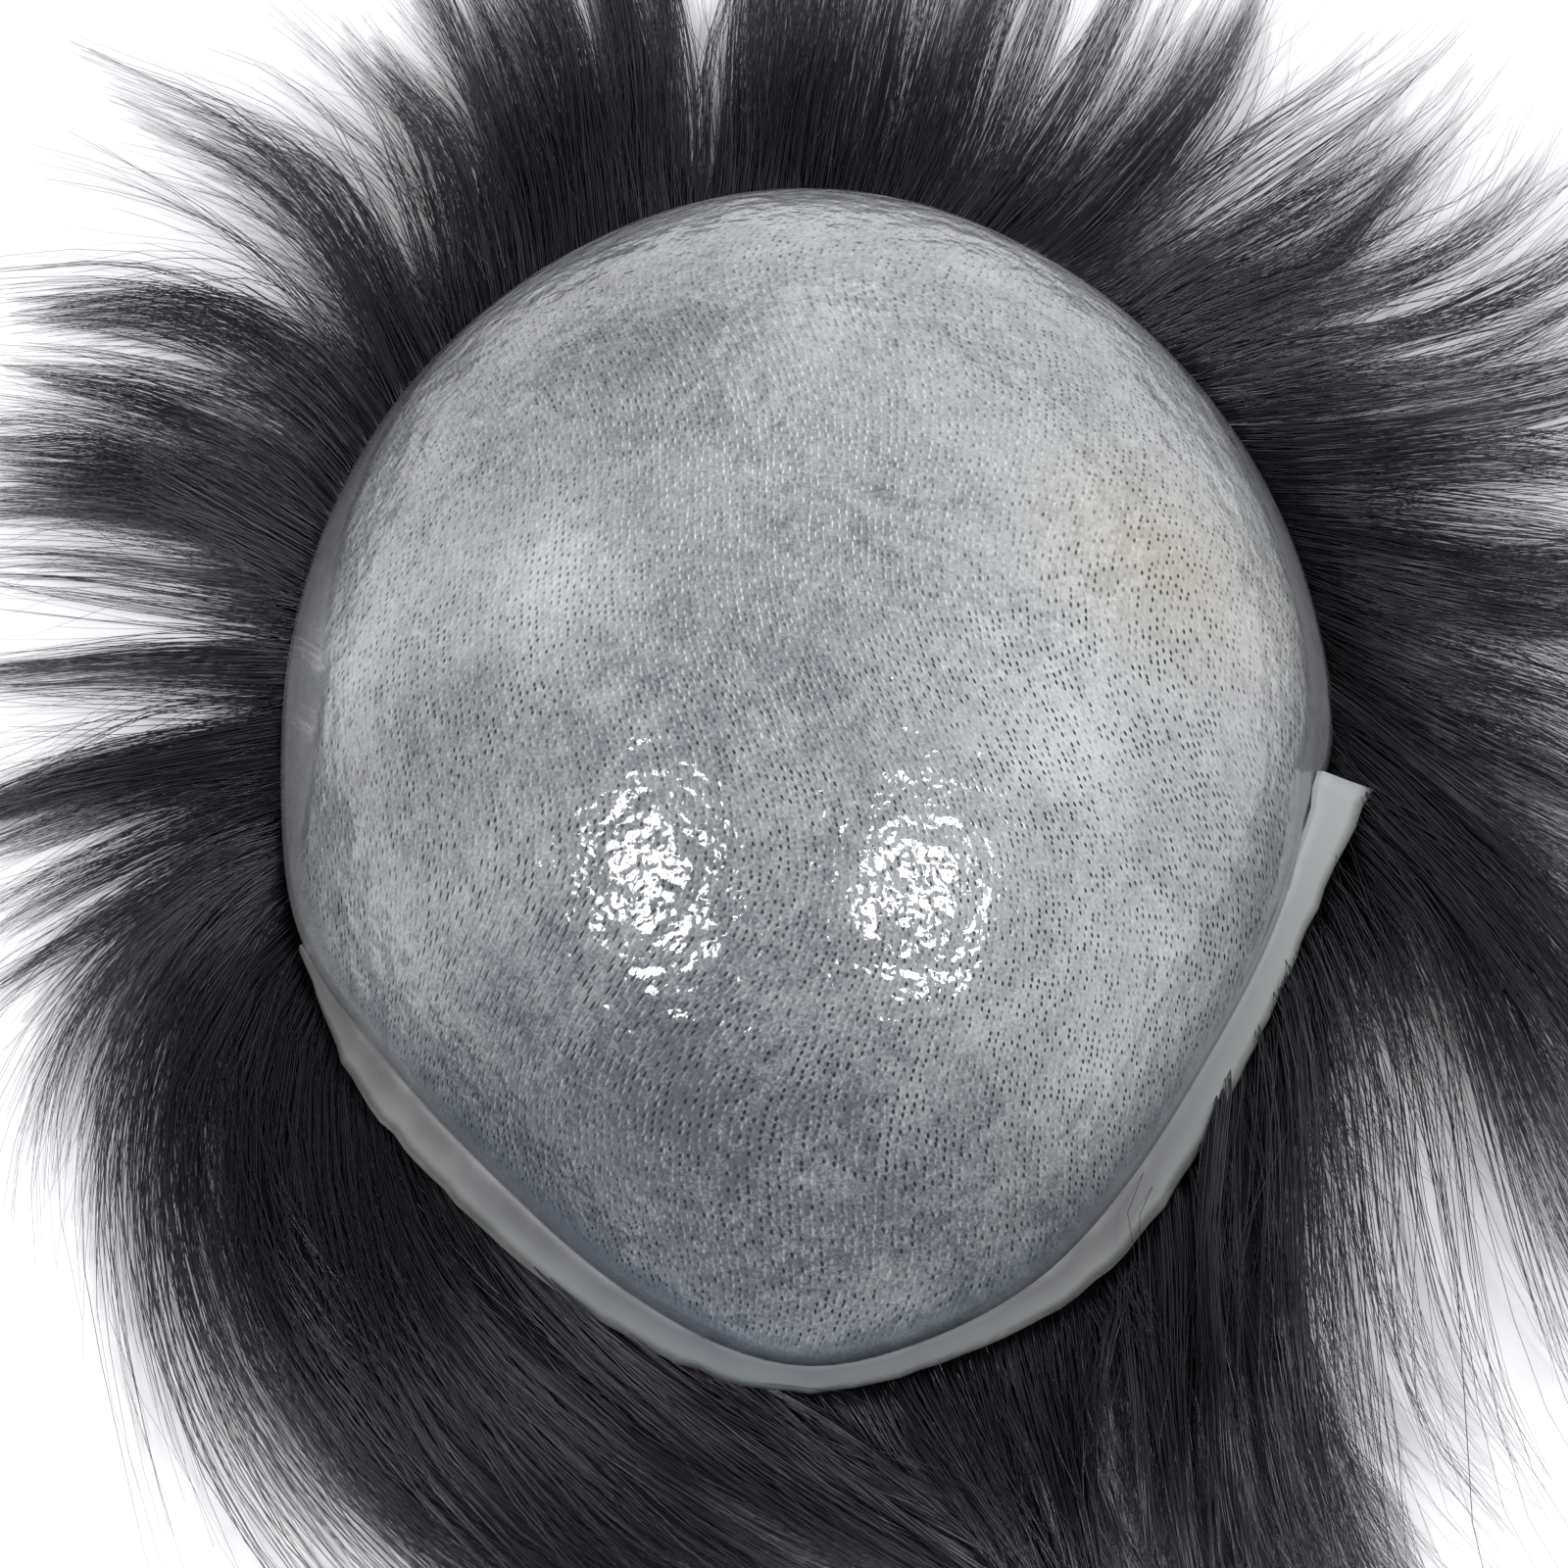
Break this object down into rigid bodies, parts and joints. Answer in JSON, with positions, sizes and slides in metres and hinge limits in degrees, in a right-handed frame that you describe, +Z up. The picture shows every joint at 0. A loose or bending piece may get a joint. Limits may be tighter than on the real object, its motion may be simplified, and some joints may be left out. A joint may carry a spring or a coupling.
{
  "type": "toupee hairpiece",
  "caption": "Thin-skin toupee lying inside out: domed film with a clear strip at its back edge, and dark straight hair fanned out under it.",
  "frame": {"origin": "on the surface the hairpiece lies on, under the middle of its bounding box", "axes": "+Z up; +Y towards the front hairline, which is at the top of the picture; +X to the right in the picture"},
  "size_m": [0.2758, 0.3152, 0.067],
  "materials": {
    "film": "glossy polyurethane film",
    "clear_strip": "smooth clear polyurethane, seen over dark hair",
    "hair": "straight black hair with a satin sheen"
  },
  "bodies": {
    "root": {"skin_base": "film", "clear_edge": "clear_strip", "hair_crown": "hair", "hair_front": "hair", "hair_front_left": "hair", "hair_left": "hair", "hair_back_left": "hair", "hair_back": "hair", "hair_back_right": "hair", "hair_front_right": "hair"}
  },
  "joints": []
}
